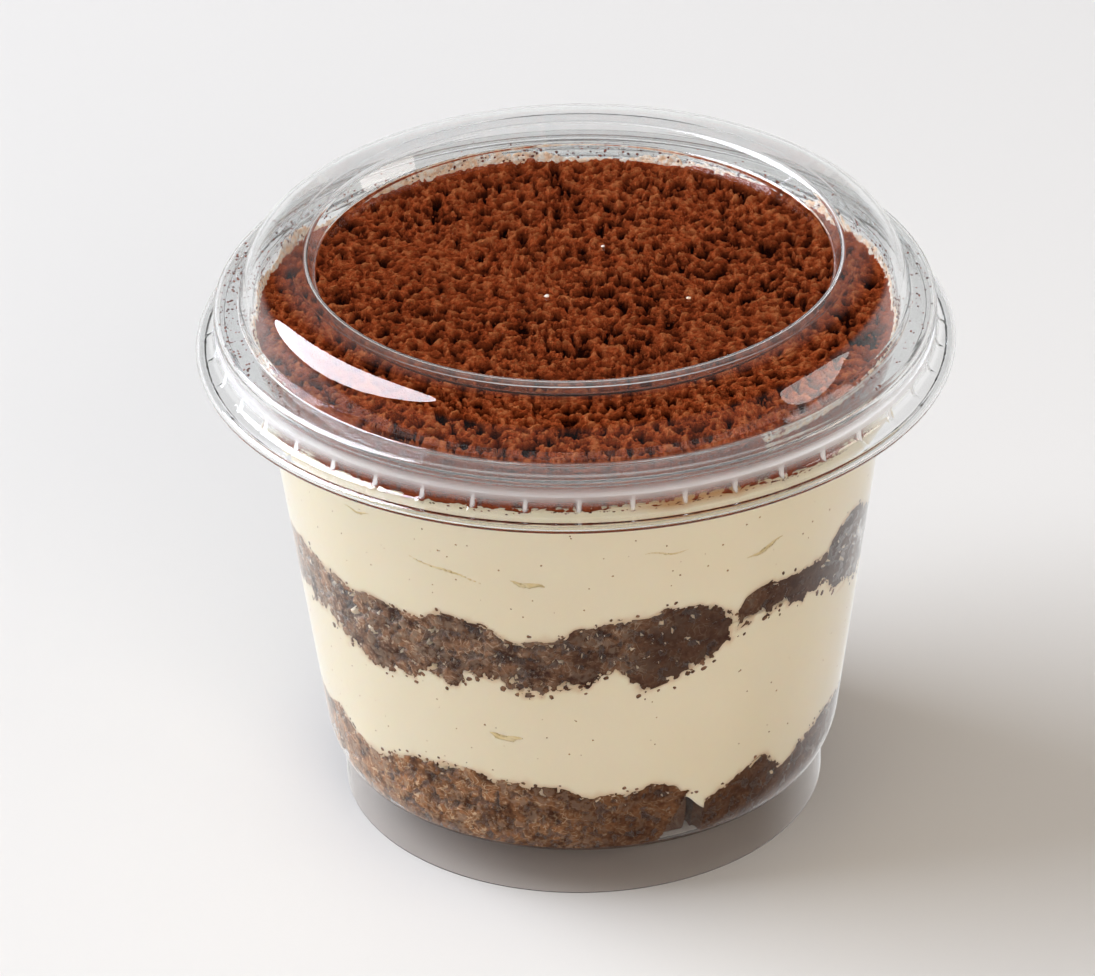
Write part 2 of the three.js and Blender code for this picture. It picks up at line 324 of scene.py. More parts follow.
def clear_sheet(name, refraction, gloss, haze, ripple_size, ripple_depth):
    """Clear plastic, nearly smooth, with a faint haze that drifts over the sheet and the slow ripples
    that forming leaves. It turns milky along corners, partly as haze where it was stretched and partly as
    white lines painted as highlights, and the milky marks on the lid's ribs are painted glints. Its foot is
    tinted grey as painted shade, deepening the shadow seen through it under the cup. Shadow and diffuse
    rays pass straight through, as they nearly do in thin plastic."""
    material, tree, output = new_material(name)
    place = put(tree, "ShaderNodeTexCoord").outputs["Object"]
    cloud = put(tree, "ShaderNodeTexNoise", {"Vector": place, "Scale": 1 / (ripple_size * MM),
                                             "Detail": 2.0})
    rough = put(tree, "ShaderNodeMapRange", {"Value": cloud.outputs["Fac"], "From Min": 0.35,
                                             "From Max": 0.75, "To Min": 0.0, "To Max": haze})
    # the milkiness is haze, and on the lid it also holds white lines and rib marks painted as highlights
    frost_and_painted_highlight = put(tree, "ShaderNodeAttribute", attribute_name="frost_and_painted_highlight").outputs["Fac"]
    rough = put(tree, "ShaderNodeMath", {0: frost_and_painted_highlight, 1: 1.5, 2: rough.outputs[0]}, operation="MULTIPLY_ADD")
    clear = put(tree, "ShaderNodeMath", {0: 1.0, 1: frost_and_painted_highlight}, operation="SUBTRACT")
    ripple = put(tree, "ShaderNodeBump", {"Height": cloud.outputs["Fac"], "Strength": 1.0,
                                          "Distance": ripple_depth * MM})
    height = put(tree, "ShaderNodeSeparateXYZ", {0: place}).outputs["Z"]
    # painted shade: the sheet is tinted grey below 6.5 mm, fading out by 9.5 mm, to deepen the shadow seen
    # through the foot
    painted_foot_shade = put(tree, "ShaderNodeMapRange", {"Value": height, "From Min": 6.5 * MM, "From Max": 9.5 * MM})
    tint = put(tree, "ShaderNodeMix", {"Factor": painted_foot_shade.outputs[0], 6: linear("#d9d1cd"),
                                       7: linear("#fbfcfc")}, data_type="RGBA")
    plastic = put(tree, "ShaderNodeBsdfPrincipled", {
        "Base Color": tint.outputs[2], "Roughness": rough.outputs[0], "IOR": refraction,
        "Specular IOR Level": gloss, "Transmission Weight": clear.outputs[0], "Normal": ripple.outputs[0]})
    open_way = put(tree, "ShaderNodeBsdfTransparent", {"Color": linear("#f7f8f8")})
    ray = put(tree, "ShaderNodeLightPath")
    for_shadow = put(tree, "ShaderNodeMixShader", {0: ray.outputs["Is Shadow Ray"], 1: plastic.outputs[0],
                                                   2: open_way.outputs[0]})
    for_bounce = put(tree, "ShaderNodeMixShader", {0: ray.outputs["Is Diffuse Ray"],
                                                   1: for_shadow.outputs[0], 2: open_way.outputs[0]})
    tree.links.new(for_bounce.outputs[0], output.inputs["Surface"])
    return material


cup_plastic = clear_sheet("clear_moulded_pet", 1.38, 0.5, 0.03, 14, 0.035)


def cup_outline():
    """The cup's section from the floor's underside, round the foot, up the outside and down the inside."""
    inside = FOOT_RADIUS - CUP_SHEET
    under_rim = RIM_TOP - RIM_THICKNESS
    heel = [(float(body_radius(z)), z, 0) for z in np.linspace(HEEL_HEIGHT, BODY_LOW_HEIGHT, 8)]
    corners = [(0, FLOOR_UNDERSIDE, 0), (inside, FLOOR_UNDERSIDE, 0.6), (inside, 0, 0.22),
               (FOOT_RADIUS, 0, 0.22), (FOOT_RADIUS, FLOOR_UNDERSIDE - 0.15, 0.35),
               (HEEL_RADIUS - 0.45, FLOOR_UNDERSIDE - 0.05, 0.35), *heel,
               (BODY_HIGH_RADIUS, BODY_HIGH_HEIGHT, 2.0), (BODY_HIGH_RADIUS + 0.5, under_rim, 0.5),
               (RIM_RADIUS - CUP_SHEET, under_rim, 0.2), (RIM_RADIUS - CUP_SHEET, RIM_TOP - RIM_LIP, 0.05),
               (RIM_RADIUS, RIM_TOP - RIM_LIP, 0.2), (RIM_RADIUS, RIM_TOP, 0.35),
               (BODY_HIGH_RADIUS + 0.35, RIM_TOP, 0.6),
               (float(wall_radius(BODY_HIGH_HEIGHT)), BODY_HIGH_HEIGHT, 2.0)]
    inner_heel = [(float(wall_radius(z)), z, 0) for z in np.linspace(BODY_LOW_HEIGHT, FLOOR_TOP + 0.5, 6)]
    corners += inner_heel + [(float(wall_radius(FLOOR_TOP)), FLOOR_TOP, 0.5), (0, FLOOR_TOP, 0)]
    return rounded_line(corners, step=3.0)


def cup_frost(azimuth, ring):
    """The cup is clear but for its rim."""
    return np.where(ring[:, 1:] > BODY_HIGH_HEIGHT + 0.6, 0.04, 0.0) + 0 * azimuth


cup_shell = lathe("cup_shell", cup_outline(), CUP_COLUMNS, cup_plastic, cup_frost)
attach(cup_shell, "root")
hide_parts("cup")


# ---------------------------------------------------------------- the lower sponge
# Coffee-soaked ladyfinger sponge, laid as two pieces on the cup's floor. It is pressed against the
# wall, so the crumbs show as flattened damp patches with hollows between them, which are painted darker as
# shade.
WALL_BITE = 0.14
CREAM_BITE = 0.05
CRUMB_BITE = 0.06
WALL_MID_RADIUS = 38.0
WALL_ROUND = 2 * math.pi * WALL_MID_RADIUS
CRUMB, CRUMB_SMALL = 2.1, 0.85
CUT_COLUMNS, CUT_TORN = 70, 0.8
LOWER_TOP = [(-180, 17.5), (-150, 18.6), (-120, 17.2), (-95, 18.4), (-72, 18.2), (-65, 19.2), (-58, 17.0),
             (-51, 16.3), (-44, 18.2), (-38, 19.3), (-27, 20.0), (-18, 19.3), (-6, 18.4), (1, 17.0),
             (7, 17.1), (15, 18.2), (19, 17.6), (22, 16.2), (27, 13.6), (31, 14.3), (36, 16.4), (43, 17.4),
             (46, 15.0), (49, 13.5), (56, 15.5), (67, 17.2), (80, 16.4), (110, 18.4), (145, 16.8)]


def height_at(azimuth, line):
    """A layer's height at an azimuth, eased through points (azimuth, height) that close round the cup:
    between two points it follows the smooth step 3t^2 - 2t^3."""
    places = np.array(line + [(line[0][0] + 360, line[0][1])], float)
    turned = (azimuth - places[0, 0]) % 360 + places[0, 0]
    spot = np.clip(np.searchsorted(places[:, 0], turned, side="right") - 1, 0, len(line) - 1)
    share = (turned - places[spot, 0]) / (places[spot + 1, 0] - places[spot, 0])
    eased = share * share * (3 - 2 * share)
    return places[spot, 1] * (1 - eased) + places[spot + 1, 1] * eased


def chance(column, row, seed):
    """A fixed random number from 0 to 1 for each whole-numbered cell, by multiplying and folding bits."""
    across, down = column.astype(np.uint64), row.astype(np.uint64)
    mixed = (across * np.uint64(0x9E3779B1)) ^ (down * np.uint64(0x85EBCA77))
    mixed = (mixed + np.uint64(seed * 7919 + 17)) * np.uint64(0x2545F4914F6CDD1D)
    mixed ^= mixed >> np.uint64(29)
    mixed *= np.uint64(0x9E3779B97F4A7C15)
    mixed ^= mixed >> np.uint64(32)
    return (mixed & np.uint64(0xFFFFFF)).astype(float) / 0x1000000


def lattice(u, v, size, around):
    """Cell numbers and offsets inside the cell; with around, u closes on itself after that length."""
    count = max(1, round(around / size)) if around else 0
    across = u / around * count if around else u / size
    down = v / size
    column, row = np.floor(across), np.floor(down)
    return column.astype(np.int64), row.astype(np.int64), across - column, down - row, count


def drift(u, v, size, seed, around=None):
    """Smooth noise from -1 to 1: random corners of square cells, blended by the smooth step."""
    column, row, du, dv, count = lattice(u, v, size, around)
    du, dv = du * du * (3 - 2 * du), dv * dv * (3 - 2 * dv)
    total = 0
    for i in (0, 1):
        for j in (0, 1):
            cell = (column + i) % count if count else column + i + 4096
            weight = (du if i else 1 - du) * (dv if j else 1 - dv)
            total = total + weight * chance(cell, row + j + 4096, seed)
    return total * 2 - 1


def clumps(u, v, size, seed, around=None):
    """Packed round crumbs from 0 to 1: each cell holds one dome at a random spot with a random radius,
    and the height is the tallest of the nine nearest domes, 1 - (distance / radius)^2."""
    column, row, du, dv, count = lattice(u, v, size, around)
    tallest = np.zeros(np.broadcast(u, v).shape)
    for i in (-1, 0, 1):
        for j in (-1, 0, 1):
            cell = (column + i) % count if count else column + i + 4096
            line = row + j + 4096
            x = i + 0.15 + 0.7 * chance(cell, line, seed) - du
            y = j + 0.15 + 0.7 * chance(cell, line, seed + 1) - dv
            radius = 0.55 + 0.45 * chance(cell, line, seed + 2)
            tallest = np.maximum(tallest, 1 - (x * x + y * y) / (radius * radius))
    return tallest


def sponge_inside(azimuth, z, piece):
    """How far a spot on the wall is inside a sponge piece's ragged outline, in millimetres."""
    s = np.radians(azimuth) * WALL_MID_RADIUS
    seed = piece["seed"]
    above = height_at(azimuth, piece["top"]) - z
    below = z - height_at(azimuth, piece["bottom"])
    rag = 0.75 * drift(s, z, 2.6, seed, WALL_ROUND) + 0.5 * drift(s, z, 0.9, seed + 1, WALL_ROUND)
    crumb = clumps(s, z, 1.5, seed + 2, WALL_ROUND) - 0.55
    top_side = above + 0.45 * rag + 0.35 * crumb
    bottom_side = below + piece["ragged"] * (0.9 * rag + 1.1 * crumb)
    lean = piece["lean"] * (z - piece["end_height"])
    right_end = (piece["right"] + lean - azimuth) * math.pi / 180 * WALL_MID_RADIUS
    left_end = (azimuth - piece["left"]) * math.pi / 180 * WALL_MID_RADIUS
    ends = np.minimum(right_end, left_end) + 0.5 * rag + 0.4 * crumb
    return np.minimum(np.minimum(top_side, bottom_side), ends)


def sponge_relief(azimuth, z, inside, seed):
    """How deep a sponge's side lies behind the wall: crumbs are flattened where they touch it, hollows
    reach 1.1 mm in, and outside the outline the side sinks away behind the cream."""
    s = np.radians(azimuth) * WALL_MID_RADIUS
    crumb = (0.55 * clumps(s, z, CRUMB, seed + 5, WALL_ROUND)
             + 0.45 * clumps(s, z, CRUMB_SMALL, seed + 8, WALL_ROUND)
             + 0.16 * drift(s, z, 0.45, seed + 11, WALL_ROUND)
             + 0.12 * drift(s, z, 5.0, seed + 12, WALL_ROUND))
    touching = np.clip((crumb - 0.6) * 2.6, -0.75, 0)
    edge = np.clip(inside / 0.22, -1, 1)
    return WALL_BITE + touching * np.clip(edge, 0, 1) + np.minimum(edge, 0) * 1.6, crumb


def left_to_right_darkening(azimuth):
    """How much darker each side is drawn, from 0 on the pale left to 1 on the dark right, and a slow
    random drift behind."""
    turned = (azimuth + 180) % 360 - 180
    front = np.clip((turned + 62) / 85, 0, 1)
    fade = np.clip((np.abs(turned) - 80) / 40, 0, 1)
    return front * (1 - fade) + (0.5 + 0.4 * drift(turned / 24, 0 * turned, 1.0, 90, 15)) * fade


def half_round(name, piece, step, material):
    """One closed sponge piece. Its side follows the wall from the slit's left end to its right end and
    comes back straight through the cup; each row of the side is a height between the ragged bottom
    and top. The faces below and above are rings that shrink towards the piece's middle."""
    left, right = piece["left"] - piece["spare"], piece["right"] + piece["spare"]
    wall_columns = round(math.radians(right - left) * WALL_MID_RADIUS / step)
    azimuth = np.linspace(left, right, wall_columns)
    low = height_at(azimuth, piece["bottom"]) - piece["margin"]
    low = np.maximum(low, piece["floor"])
    high = height_at(azimuth, piece["top"]) + 1.3
    rows = round((high - low).max() / step)
    climb = np.linspace(0, 1, rows)[:, None]
    z = low + (high - low) * climb
    angle = np.broadcast_to(azimuth, z.shape)
    inside = sponge_inside(angle, z, piece)
    relief, crumb = sponge_relief(angle, z, inside, piece["seed"])
    at_wall = round_axis(angle, wall_radius(z) + relief, z)
    share = np.linspace(0, 1, CUT_COLUMNS + 2)[1:-1]
    torn = CUT_TORN * drift(share * 60 + 0 * z[:, :1], z[:, :1] + 0 * share, 3.0, piece["seed"] + 20)
    way = at_wall[:, :1] - at_wall[:, -1:]
    sideways = np.stack([-way[..., 1], way[..., 0], 0 * way[..., 0]], -1)
    sideways = sideways / np.hypot(way[..., 0], way[..., 1])[..., None]
    cut = at_wall[:, -1:] + way * share[:, None] + torn[..., None] * sideways
    side = np.hstack([at_wall, cut])
    # painted shade: the further the side sits back from the wall, the darker it is drawn
    painted_hollow_shade = np.hstack([np.clip((WALL_BITE - relief) / 0.75, 0, 1), np.full(torn.shape, 0.5)])
    film_and_sheen = np.hstack([np.clip((crumb - 0.68) * 8, 0, 1), np.zeros(torn.shape)])
    # darker from the left towards the front and right, with a random drift, and the cut face is drawn darker
    darker_share = np.hstack([left_to_right_darkening(angle) + 0.25 * drift(angle, z, 7.0, 95), np.full(torn.shape, 0.8)])
    shrink = np.array([0.25, 0.5, 0.72, 0.88, 0.96])[:, None, None]
    middle = side.reshape(-1, 3).mean(0)[:2]
    poles = np.array([[*middle, piece["floor_level"]], [*middle, piece["top_level"]]])
    below = poles[0] + (side[0] - poles[0]) * shrink
    above = poles[1] + (side[-1] - poles[1]) * shrink
    grid = np.concatenate([below, side, above[::-1]])
    made = capped(name, grid, poles, material)
    rings = np.full((len(shrink), grid.shape[1]), 0.5)
    for label, values in (("painted_hollow_shade", painted_hollow_shade), ("film_and_sheen", film_and_sheen), ("darker_share", np.clip(darker_share, 0, 1))):
        marked(made, label, np.concatenate([rings.ravel(), values.ravel(), rings.ravel(), [0.5, 0.5]]))
    return made


def soaked_sponge(name, crumb_colour, dark_colour, pale_colour, film_sheen_colour):
    """Soaked ladyfinger crumb: a damp matt brown, in soft patches of 2.6 mm with a fine 0.6 mm grain,
    hollows painted darker as shade, a darkening drawn from the left towards the right, thin pale curls of
    torn egg foam, and damp films where it is pressed against the plastic, whose greyish colour is partly
    painted sheen."""
    material, tree, output = new_material(name)
    place = put(tree, "ShaderNodeTexCoord").outputs["Object"]
    crumb, dark, pale, film_sheen_tone = (linear(tint) for tint in (crumb_colour, dark_colour, pale_colour, film_sheen_colour))
    painted_hollow_shade, film_and_sheen, darker_share = (put(tree, "ShaderNodeAttribute", attribute_name=label).outputs["Fac"]
                          for label in ("painted_hollow_shade", "film_and_sheen", "darker_share"))
    patch, fine, wave, strewn, wetted = (
        put(tree, "ShaderNodeTexNoise", {"Vector": place, "Scale": 1 / (size * MM), **more}).outputs["Fac"]
        for size, more in ((2.6, {"Detail": 4.0, "Roughness": 0.6}),
                           (0.6, {"Detail": 4.0, "Roughness": 0.65}),
                           (1.9, {"Detail": 1.0, "Distortion": 1.2}), (2.6, {}), (2.8, {"Detail": 3.0})))
    line = put(tree, "ShaderNodeMath", {0: wave, 1: 0.5}, operation="SUBTRACT")
    line = put(tree, "ShaderNodeMath", {0: line.outputs[0]}, operation="ABSOLUTE")
    line = put(tree, "ShaderNodeMapRange", {"Value": line.outputs[0], "From Min": 0.01, "From Max": 0.022,
                                            "To Min": 0.9, "To Max": 0.0})
    strewn = put(tree, "ShaderNodeMapRange", {"Value": strewn, "From Min": 0.46, "From Max": 0.52})
    curl = put(tree, "ShaderNodeMath", {0: line.outputs[0], 1: strewn.outputs[0]}, operation="MULTIPLY")
    wetted = put(tree, "ShaderNodeMapRange", {"Value": wetted, "From Min": 0.52, "From Max": 0.56,
                                              "To Min": 0.0, "To Max": 0.7})
    # partly painted sheen: the greyish film colour stands for the gloss of the damp films pressed on the
    # plastic
    film_sheen_share = put(tree, "ShaderNodeMath", {0: film_and_sheen, 1: wetted.outputs[0]}, operation="MULTIPLY")
    tone = dark
    # each coat: what drives it, from which value to which, how much it covers at both, and its colour
    # the last coat is painted shade in the hollows, and the one before it darkens the sponge from left to
    # right
    for value, low, high, start, end, colour in (
            (patch, 0.36, 0.58, 0.0, 1.0, crumb), (fine, 0.52, 0.64, 0.0, 0.4, pale),
            (fine, 0.37, 0.45, 0.45, 0.0, dark), (curl.outputs[0], 0.0, 1.0, 0.0, 1.0, pale),
            (film_sheen_share.outputs[0], 0.0, 1.0, 0.0, 1.0, film_sheen_tone), (darker_share, 0.0, 1.0, 0.0, 0.86, dark),
            (painted_hollow_shade, 0.0, 1.0, 0.0, 0.5, dark)):
        cover = put(tree, "ShaderNodeMapRange", {"Value": value, "From Min": low, "From Max": high,
                                                 "To Min": start, "To Max": end})
        tone = put(tree, "ShaderNodeMix", {"Factor": cover.outputs[0], 6: tone, 7: colour},
                   data_type="RGBA").outputs[2]
    grain = put(tree, "ShaderNodeBump", {"Height": fine, "Strength": 0.8, "Distance": 0.15 * MM})
    rough = put(tree, "ShaderNodeMapRange", {"Value": film_sheen_share.outputs[0], "From Min": 0.0, "From Max": 0.5,
                                             "To Min": 0.65, "To Max": 0.3})
    body = put(tree, "ShaderNodeBsdfPrincipled", {
        "Base Color": tone, "Roughness": rough.outputs[0], "IOR": 1.4, "Specular IOR Level": 0.2,
        "Normal": grain.outputs[0]})
    tree.links.new(body.outputs[0], output.inputs["Surface"])
    return material


lower_crumb = soaked_sponge("coffee_soaked_ladyfinger", "#b37a50", "#412007", "#ecc9a2", "#a98c76")
floor_line = [(-180, FLOOR_TOP), (0, FLOOR_TOP)]
lower_left = {"top": LOWER_TOP, "bottom": floor_line, "left": -150.0, "right": 22.4, "spare": 1.5,
              "lean": 0.9, "end_height": 15.0, "margin": 0.0, "floor": FLOOR_TOP - 0.06, "ragged": 0.0,
              "floor_level": FLOOR_TOP - 0.06, "top_level": 17.0, "seed": 100}
lower_right = dict(lower_left, left=27.2, right=208.0, lean=0.0, seed=160)
SPONGE_STEP = 0.24
for label, piece in (("left", lower_left), ("right", lower_right)):
    made = half_round(f"sponge_lower_{label}_crumb", piece, SPONGE_STEP, lower_crumb)
    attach(made, "root")
    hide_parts(f"sponge_lower_{label}")


# ---------------------------------------------------------------- the upper sponge
# The second layer of soaked ladyfingers, again two pieces that nearly meet. Crumbs break away from
# its underside into the cream, so that edge is the more ragged one.
UPPER_BOTTOM = [(-180, 35.4), (-150, 36.4), (-120, 34.6), (-100, 36.0), (-83, 35.4), (-69, 36.3),
                (-61, 36.0), (-57, 34.4), (-48, 33.3), (-37, 33.4), (-32, 35.8), (-28, 33.8), (-18, 36.9),
                (-12, 34.7), (-2, 35.5), (7, 38.4), (12, 34.5), (18, 35.4), (26, 37.8), (30, 40.0),
                (33, 41.4), (38, 42.3), (55, 41.3), (64, 38.5), (74, 35.8), (100, 36.6), (130, 35.0),
                (155, 36.4)]
UPPER_TOP = [(-180, 43.6), (-150, 44.8), (-120, 43.4), (-83, 43.3), (-65, 44.5), (-51, 43.3), (-44, 44.2),
             (-33, 43.9), (-28, 45.4), (-20, 44.9), (-13, 42.6), (-6, 43.4), (0, 45.3), (11, 46.6),
             (20, 47.4), (26, 46.6), (29, 44.6), (31, 43.4), (34, 46.0), (38, 46.8), (46, 46.0),
             (52, 45.7), (65, 49.3), (82, 44.4), (110, 45.2), (150, 43.2)]
upper_crumb = soaked_sponge("espresso_soaked_ladyfinger", "#a57859", "#3d2113", "#d8bb9f", "#98826f")
upper_left = {"top": UPPER_TOP, "bottom": UPPER_BOTTOM, "left": -141.5, "right": 30.4, "spare": 1.5,
              "lean": 0.0, "end_height": 42.0, "margin": 2.4, "floor": 0.0, "ragged": 1.0,
              "floor_level": 35.6, "top_level": 43.8, "seed": 200}
upper_right = dict(upper_left, left=31.9, right=217.0, seed=260)
for label, piece in (("left", upper_left), ("right", upper_right)):
    made = half_round(f"sponge_upper_{label}_crumb", piece, SPONGE_STEP, upper_crumb)
    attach(made, "root")
    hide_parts(f"sponge_upper_{label}")


# ---------------------------------------------------------------- the cream
# Whipped mascarpone cream, spooned in two layers. It wets the wall and lies smooth against it, and it
# is stained where it meets the coffee-soaked sponge and the cocoa.
CREAM_MEETING = 42.3
COCOA_BOTTOM = [(-180, 63.0), (-140, 62.2), (-100, 61.4), (-67, 60.5), (-54, 62.5), (-34, 62.8),
                (-18, 63.5), (-3, 64.3), (22, 64.4), (32, 63.7), (49, 62.0), (80, 62.6), (120, 63.4)]
CREAM_STEP = 0.42


def cream_relief(azimuth, z):
    """How far the cream's side stands out from the wall's inside, and how brown it is: it just bites into
    the wall and sinks in behind the sponge, except for flecks that fill the sponge's hollows. Coffee
    stains it round the sponge, and cocoa under the powder's edge."""
    s = np.radians(azimuth) * WALL_MID_RADIUS
    depth = np.full(np.broadcast(azimuth, z).shape, CREAM_BITE)
    stain = np.zeros(depth.shape)
    turned = (azimuth + 180) % 360 - 180
    for piece in (lower_left, lower_right, upper_left, upper_right):
        local = (turned - piece["left"] + 20) % 360 + piece["left"] - 20
        inside = sponge_inside(local, z, piece)
        fleck = clumps(s + 0.5 * z, 0.7 * z, 1.3, piece["seed"] + 40, WALL_ROUND) - 0.86
        cover = np.clip((inside - 0.5) / 0.8, 0, 1) * np.clip(1 - fleck * 16, 0, 1)
        depth = depth - 1.5 * cover
        halo = np.clip(1 + inside / (1.0 + 0.7 * drift(s, z, 2.5, piece["seed"] + 50, WALL_ROUND)), 0, 1)
        stain = np.maximum(stain, 0.42 * halo ** 2)
    under_cocoa = height_at(azimuth, COCOA_BOTTOM) - z + 0.8 * drift(s, z, 3.0, 402, WALL_ROUND)
    run = np.clip((turned - 8) / 8, 0, 1) * np.clip((38 - turned) / 8, 0, 1)
    stain = np.maximum(stain, (0.25 + 0.65 * run) * np.clip(1 - under_cocoa / (0.8 + 1.8 * run), 0, 1))
    return depth, stain


def cream_layer(name, low_line, high_line, low_level, high_level, material):
    """A closed round layer: rows of its side between two wavy edges, closed below and above by rings."""
    columns = round(WALL_ROUND / CREAM_STEP)
    azimuth = np.arange(columns) * 360 / columns - 180
    low, high = low_line(azimuth), high_line(azimuth)
    rows = round((high - low).max() / CREAM_STEP)
    z = low + (high - low) * np.linspace(0, 1, rows)[:, None]
    angle = np.broadcast_to(azimuth, z.shape)
    relief, stain = cream_relief(angle, z)
    side = round_axis(angle, wall_radius(z) + relief, z)
    shrink = np.array([0.3, 0.6, 0.85, 0.97])[:, None]

    def ring(edge, level):
        height = level + (edge[:, 2] - level) * shrink ** 2
        return np.stack([edge[:, 0] * shrink, edge[:, 1] * shrink, height], -1)

    grid = np.concatenate([ring(side[0], low_level), side, ring(side[-1], high_level)[::-1]])
    poles = np.array([[0, 0, low_level], [0, 0, high_level]])
    made = capped(name, grid, poles, material)
    plain = np.zeros((len(shrink), columns))
    marked(made, "stain", np.concatenate([plain.ravel(), stain.ravel(), plain.ravel(), [0, 0]]))
    return made


def whipped_cream():
    """Mascarpone cream: a soft warm white that lets light a little way in, with barely paler and
    yellower clouds and a fine bubbly grain."""
    material, tree, output = new_material("whipped_mascarpone")
    place = put(tree, "ShaderNodeTexCoord").outputs["Object"]
    cloud = put(tree, "ShaderNodeTexNoise", {"Vector": place, "Scale": 1 / (16 * MM), "Detail": 4.0})
    tone = put(tree, "ShaderNodeMix", {"Factor": cloud.outputs["Fac"], 6: linear("#efdfbf"),
                                       7: linear("#f4e7cd")}, data_type="RGBA")
    stain = put(tree, "ShaderNodeAttribute", attribute_name="stain").outputs["Fac"]
    tone = put(tree, "ShaderNodeMix", {"Factor": stain, 6: tone.outputs[2], 7: linear("#c48a4e")},
               data_type="RGBA")
    grain = put(tree, "ShaderNodeTexNoise", {"Vector": place, "Scale": 1 / (0.8 * MM), "Detail": 3.0})
    bump = put(tree, "ShaderNodeBump", {"Height": grain.outputs["Fac"], "Strength": 0.3,
                                        "Distance": 0.08 * MM})
    body = put(tree, "ShaderNodeBsdfPrincipled", {
        "Base Color": tone.outputs[2], "Roughness": 0.45, "IOR": 1.4, "Normal": bump.outputs[0],
        "Subsurface Weight": 0.35, "Subsurface Radius": (1.0, 0.7, 0.4), "Subsurface Scale": 2.0 * MM})
    tree.links.new(body.outputs[0], output.inputs["Surface"])
    return material


cream = whipped_cream()


def cream_floor(azimuth):
    """The lower cream's edge: tucked 2 mm down behind the sponge, and hanging free over the slit."""
    over_slit = np.clip(1 - np.abs(azimuth - 23.5) / 5.5, 0, 1)
    return height_at(azimuth, LOWER_TOP) - 2.0 + 0.9 * np.minimum(over_slit * 2, 1)


def meeting(azimuth):
    return CREAM_MEETING + 0 * azimuth


def cream_ceiling(azimuth):
    return height_at(azimuth, COCOA_BOTTOM) + 0.9


lower_cream = cream_layer("cream_lower_layer", cream_floor, meeting, 16.5, CREAM_MEETING, cream)
upper_cream = cream_layer("cream_upper_layer", meeting, cream_ceiling, CREAM_MEETING, 62.5, cream)
for made, node in ((lower_cream, "cream_lower"), (upper_cream, "cream_upper")):
    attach(made, "root")
    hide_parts(node)


# ---------------------------------------------------------------- the cocoa
# Dry cocoa powder, sieved thick over the cream. It lies matt and lumpy, with small round pits where
# the lumps part, and its edge shows through the wall as a ragged brown band.
COCOA_TOP = 70.6
COCOA_CELLS = 270
COCOA_SIDE_ROWS = 18


def disc_grid(cells):
    """A square grid laid evenly over a unit disc: squares about the centre become circles, the longer
    coordinate as the radius and the ratio of the two as the angle. Returns x and y."""
    a, b = np.meshgrid(np.linspace(-1, 1, cells), np.linspace(-1, 1, cells))
    wide = np.abs(a) > np.abs(b)
    radius = np.where(wide, a, b)
    with np.errstate(divide="ignore", invalid="ignore"):
        angle = np.where(wide, math.pi / 4 * b / a, math.pi / 2 - math.pi / 4 * a / b)
    angle = np.nan_to_num(angle)
    return radius * np.cos(angle), radius * np.sin(angle)


def cocoa_height(x, y):
    """The powder's height: slow swells, packed lumps at three sizes on a bent grid, and steep little hollows
    where the lumps part. Returns the height, and how deep each spot lies, from -1 on the crests to 1, which
    the powder's colour uses as painted light on the crests and painted shade in the hollows."""
    u, v = x + 200, y + 200
    swell = 0.3 * drift(u, v, 9.0, 301) + 0.3 * drift(u, v, 3.6, 302)
    bent_u = u + 0.7 * drift(u, v, 2.2, 303) + 0.3 * drift(u, v, 0.8, 305)
    bent_v = v + 0.7 * drift(u, v, 2.2, 304) + 0.3 * drift(u, v, 0.8, 306)
    lumps = 0.36 * clumps(bent_u, bent_v, 2.5, 310) + 0.32 * clumps(bent_u, bent_v, 1.3, 314)
    grain = 0.42 * clumps(u, v, 0.85, 318) + 0.25 * drift(u, v, 0.45, 319)
    rarer = 0.07 * drift(u, v, 6.0, 330)
    pit_painted_shade_and_light = np.clip((clumps(bent_u, bent_v, 2.7, 322) - 0.825 + rarer) / 0.08, 0, 1)
    nick = np.clip((clumps(bent_u, bent_v, 1.7, 326) - 0.86 + rarer) / 0.07, 0, 1)
    low = np.clip((0.66 - lumps - grain) / 0.4, 0, 1)
    painted_crest_light = np.clip((lumps + grain - 0.76) / 0.25, 0, 1) * (1 - pit_painted_shade_and_light) * (1 - nick)
    return (swell + lumps + grain - 1.4 * pit_painted_shade_and_light - 0.8 * nick - 0.78,
            np.clip(0.7 * low + pit_painted_shade_and_light + 0.8 * nick, 0, 1) - painted_crest_light)


def cocoa_level(height):
    """The height of the powder's top above the table, from cocoa_height's value."""
    return COCOA_TOP - 0.1 + 0.9 * height


